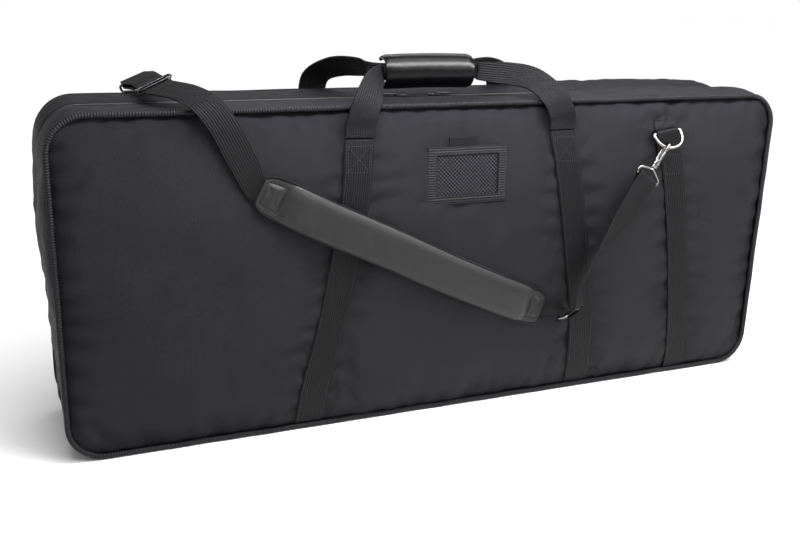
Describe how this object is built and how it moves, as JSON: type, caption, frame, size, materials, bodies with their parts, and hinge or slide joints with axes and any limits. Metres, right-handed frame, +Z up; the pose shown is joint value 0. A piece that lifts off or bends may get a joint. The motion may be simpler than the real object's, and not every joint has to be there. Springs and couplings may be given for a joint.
{
  "type": "telescope carry case",
  "caption": "Long rectangular padded clamshell case with a wrapped grip joining two webbing handles, a clipped shoulder strap with a pad, and a mesh label pocket.",
  "frame": {"origin": "centre of the flat bottom, at the height it stands on", "axes": "+X along the case to its right end, -Y out of the front panel, +Z up"},
  "size_m": [1.015, 0.2602, 0.4695],
  "materials": {
    "nylon": "woven nylon, matt",
    "lining": "smooth woven lining, matt",
    "foam": "closed-cell foam sheet",
    "webbing": "ribbed woven webbing",
    "piping": "woven tape over a round cord",
    "zip": "zip tape with coil teeth",
    "board": "stiff flat sheet",
    "leatherette": "soft coated cloth, satin",
    "mesh": "fine diagonal mesh",
    "card": "satin card",
    "metal": "nickel plated, polished"
  },
  "bodies": {
    "rear_shell": {"rear_panel_cover": "nylon", "rear_panel_foam": "foam", "rear_panel_lining": "lining", "rear_piping": "piping", "rear_gusset": "nylon", "rear_zip_tape": "zip", "bottom_gusset": "nylon", "bottom_board": "board", "zip_end_tab_left": "webbing", "zip_end_tab_right": "webbing", "rear_handle_strap_left": "webbing", "rear_handle_strap_right": "webbing", "rear_anchor_strap": "webbing", "rear_anchor_patch": "nylon", "rear_hook_eye": "metal", "rear_strap_loop": "webbing"},
    "front_lid": {"front_panel_cover": "nylon", "front_panel_foam": "foam", "front_panel_lining": "lining", "front_piping": "piping", "front_gusset": "nylon", "front_zip_tape": "zip", "front_handle_strap_left": "webbing", "front_handle_strap_right": "webbing", "front_anchor_strap": "webbing", "front_anchor_patch": "nylon", "front_hook_eye": "metal", "shoulder_webbing_lower": "webbing", "strap_ring": "metal", "shoulder_webbing_main": "webbing", "pad_face": "leatherette", "pad_foam": "foam", "pad_backing": "lining", "id_pocket_frame": "webbing", "id_mesh_window": "mesh"},
    "front_handle": {"front_handle_loop": "webbing", "grip_cover": "leatherette", "grip_padding": "foam"},
    "rear_handle": {"rear_handle_loop": "webbing"},
    "front_ring": {"front_d_ring": "metal"},
    "rear_ring": {"rear_d_ring": "metal"},
    "front_hook": {"front_snap_hook": "metal"},
    "rear_hook": {"rear_snap_hook": "metal"},
    "front_gate": {"front_hook_gate": "metal"},
    "rear_gate": {"rear_hook_gate": "metal"},
    "strap_adjuster": {"tri_glide": "metal"},
    "id_insert": {"id_card": "card", "id_pull_tab": "webbing"},
    "slider_left": {"zip_slider_left": "metal"},
    "slider_right": {"zip_slider_right": "metal"},
    "pull_left": {"zip_pull_left": "metal"},
    "pull_right": {"zip_pull_right": "metal"}
  },
  "joints": [
    {"name": "lid_hinge", "type": "hinge", "parent": "rear_shell", "child": "front_lid", "pos_m": [0, -0.085, 0.004], "axis": [1, 0, 0], "range_deg": [0, 66]},
    {"name": "slider_left_slide", "type": "slide", "parent": "front_lid", "child": "slider_left", "axis": [-1, 0, 0], "range_m": [0, 0.395]},
    {"name": "slider_right_slide", "type": "slide", "parent": "front_lid", "child": "slider_right", "axis": [1, 0, 0], "range_m": [0, 0.44]},
    {"name": "pull_left_hinge", "type": "hinge", "parent": "slider_left", "child": "pull_left", "pos_m": [-0.054, 0, 0.4202], "axis": [0, 1, 0], "range_deg": [0, 85]},
    {"name": "pull_right_hinge", "type": "hinge", "parent": "slider_right", "child": "pull_right", "pos_m": [-0.002, 0, 0.4202], "axis": [0, -1, 0], "range_deg": [0, 85]},
    {"name": "front_handle_swing", "type": "hinge", "parent": "front_lid", "child": "front_handle", "pos_m": [0, -0.09205, 0.38], "axis": [1, 0, 0], "range_deg": [0, 100]},
    {"name": "rear_handle_swing", "type": "hinge", "parent": "rear_shell", "child": "rear_handle", "pos_m": [0, 0.09205, 0.38], "axis": [-1, 0, 0], "range_deg": [0, 100]},
    {"name": "front_ring_hinge", "type": "hinge", "parent": "front_lid", "child": "front_ring", "pos_m": [0.3105, -0.0956, 0.3705], "axis": [0.989, 0, 0.1478], "range_deg": [-1.2, 4]},
    {"name": "rear_ring_hinge", "type": "hinge", "parent": "rear_shell", "child": "rear_ring", "pos_m": [-0.354, 0.0956, 0.3705], "axis": [0.989, 0, -0.1478], "range_deg": [-0.8, 4]},
    {"name": "front_hook_swivel", "type": "hinge", "parent": "front_lid", "child": "front_hook", "pos_m": [0.3048, -0.10887, 0.35711], "axis": [-0.5811, -0.0601, -0.8116], "range_deg": [-4, 6]},
    {"name": "rear_hook_swivel", "type": "hinge", "parent": "rear_shell", "child": "rear_hook", "pos_m": [-0.3596, 0.11343, 0.38199], "axis": [-0.3731, -0.2611, 0.8903], "range_deg": [-3, 6]},
    {"name": "front_gate_hinge", "type": "hinge", "parent": "front_hook", "child": "front_gate", "pos_m": [0.2851, -0.11779, 0.33429], "axis": [-0.7715, 0.3582, 0.5259], "range_deg": [0, 18], "stiffness_Nm_per_rad": 0.02, "springref_deg": -17.19},
    {"name": "rear_gate_hinge", "type": "hinge", "parent": "rear_hook", "child": "rear_gate", "pos_m": [-0.37349, 0.11257, 0.41018], "axis": [-0.8671, -0.2431, -0.4347], "range_deg": [0, 18], "stiffness_Nm_per_rad": 0.02, "springref_deg": -17.19},
    {"name": "adjuster_slide", "type": "slide", "parent": "front_lid", "child": "strap_adjuster", "axis": [-0.02, 0.9997, -0.0133], "range_m": [-0.01, 0.02]},
    {"name": "id_insert_slide", "type": "slide", "parent": "front_lid", "child": "id_insert", "axis": [0, 0.0436, 0.999], "range_m": [0, 0.055]}
  ]
}
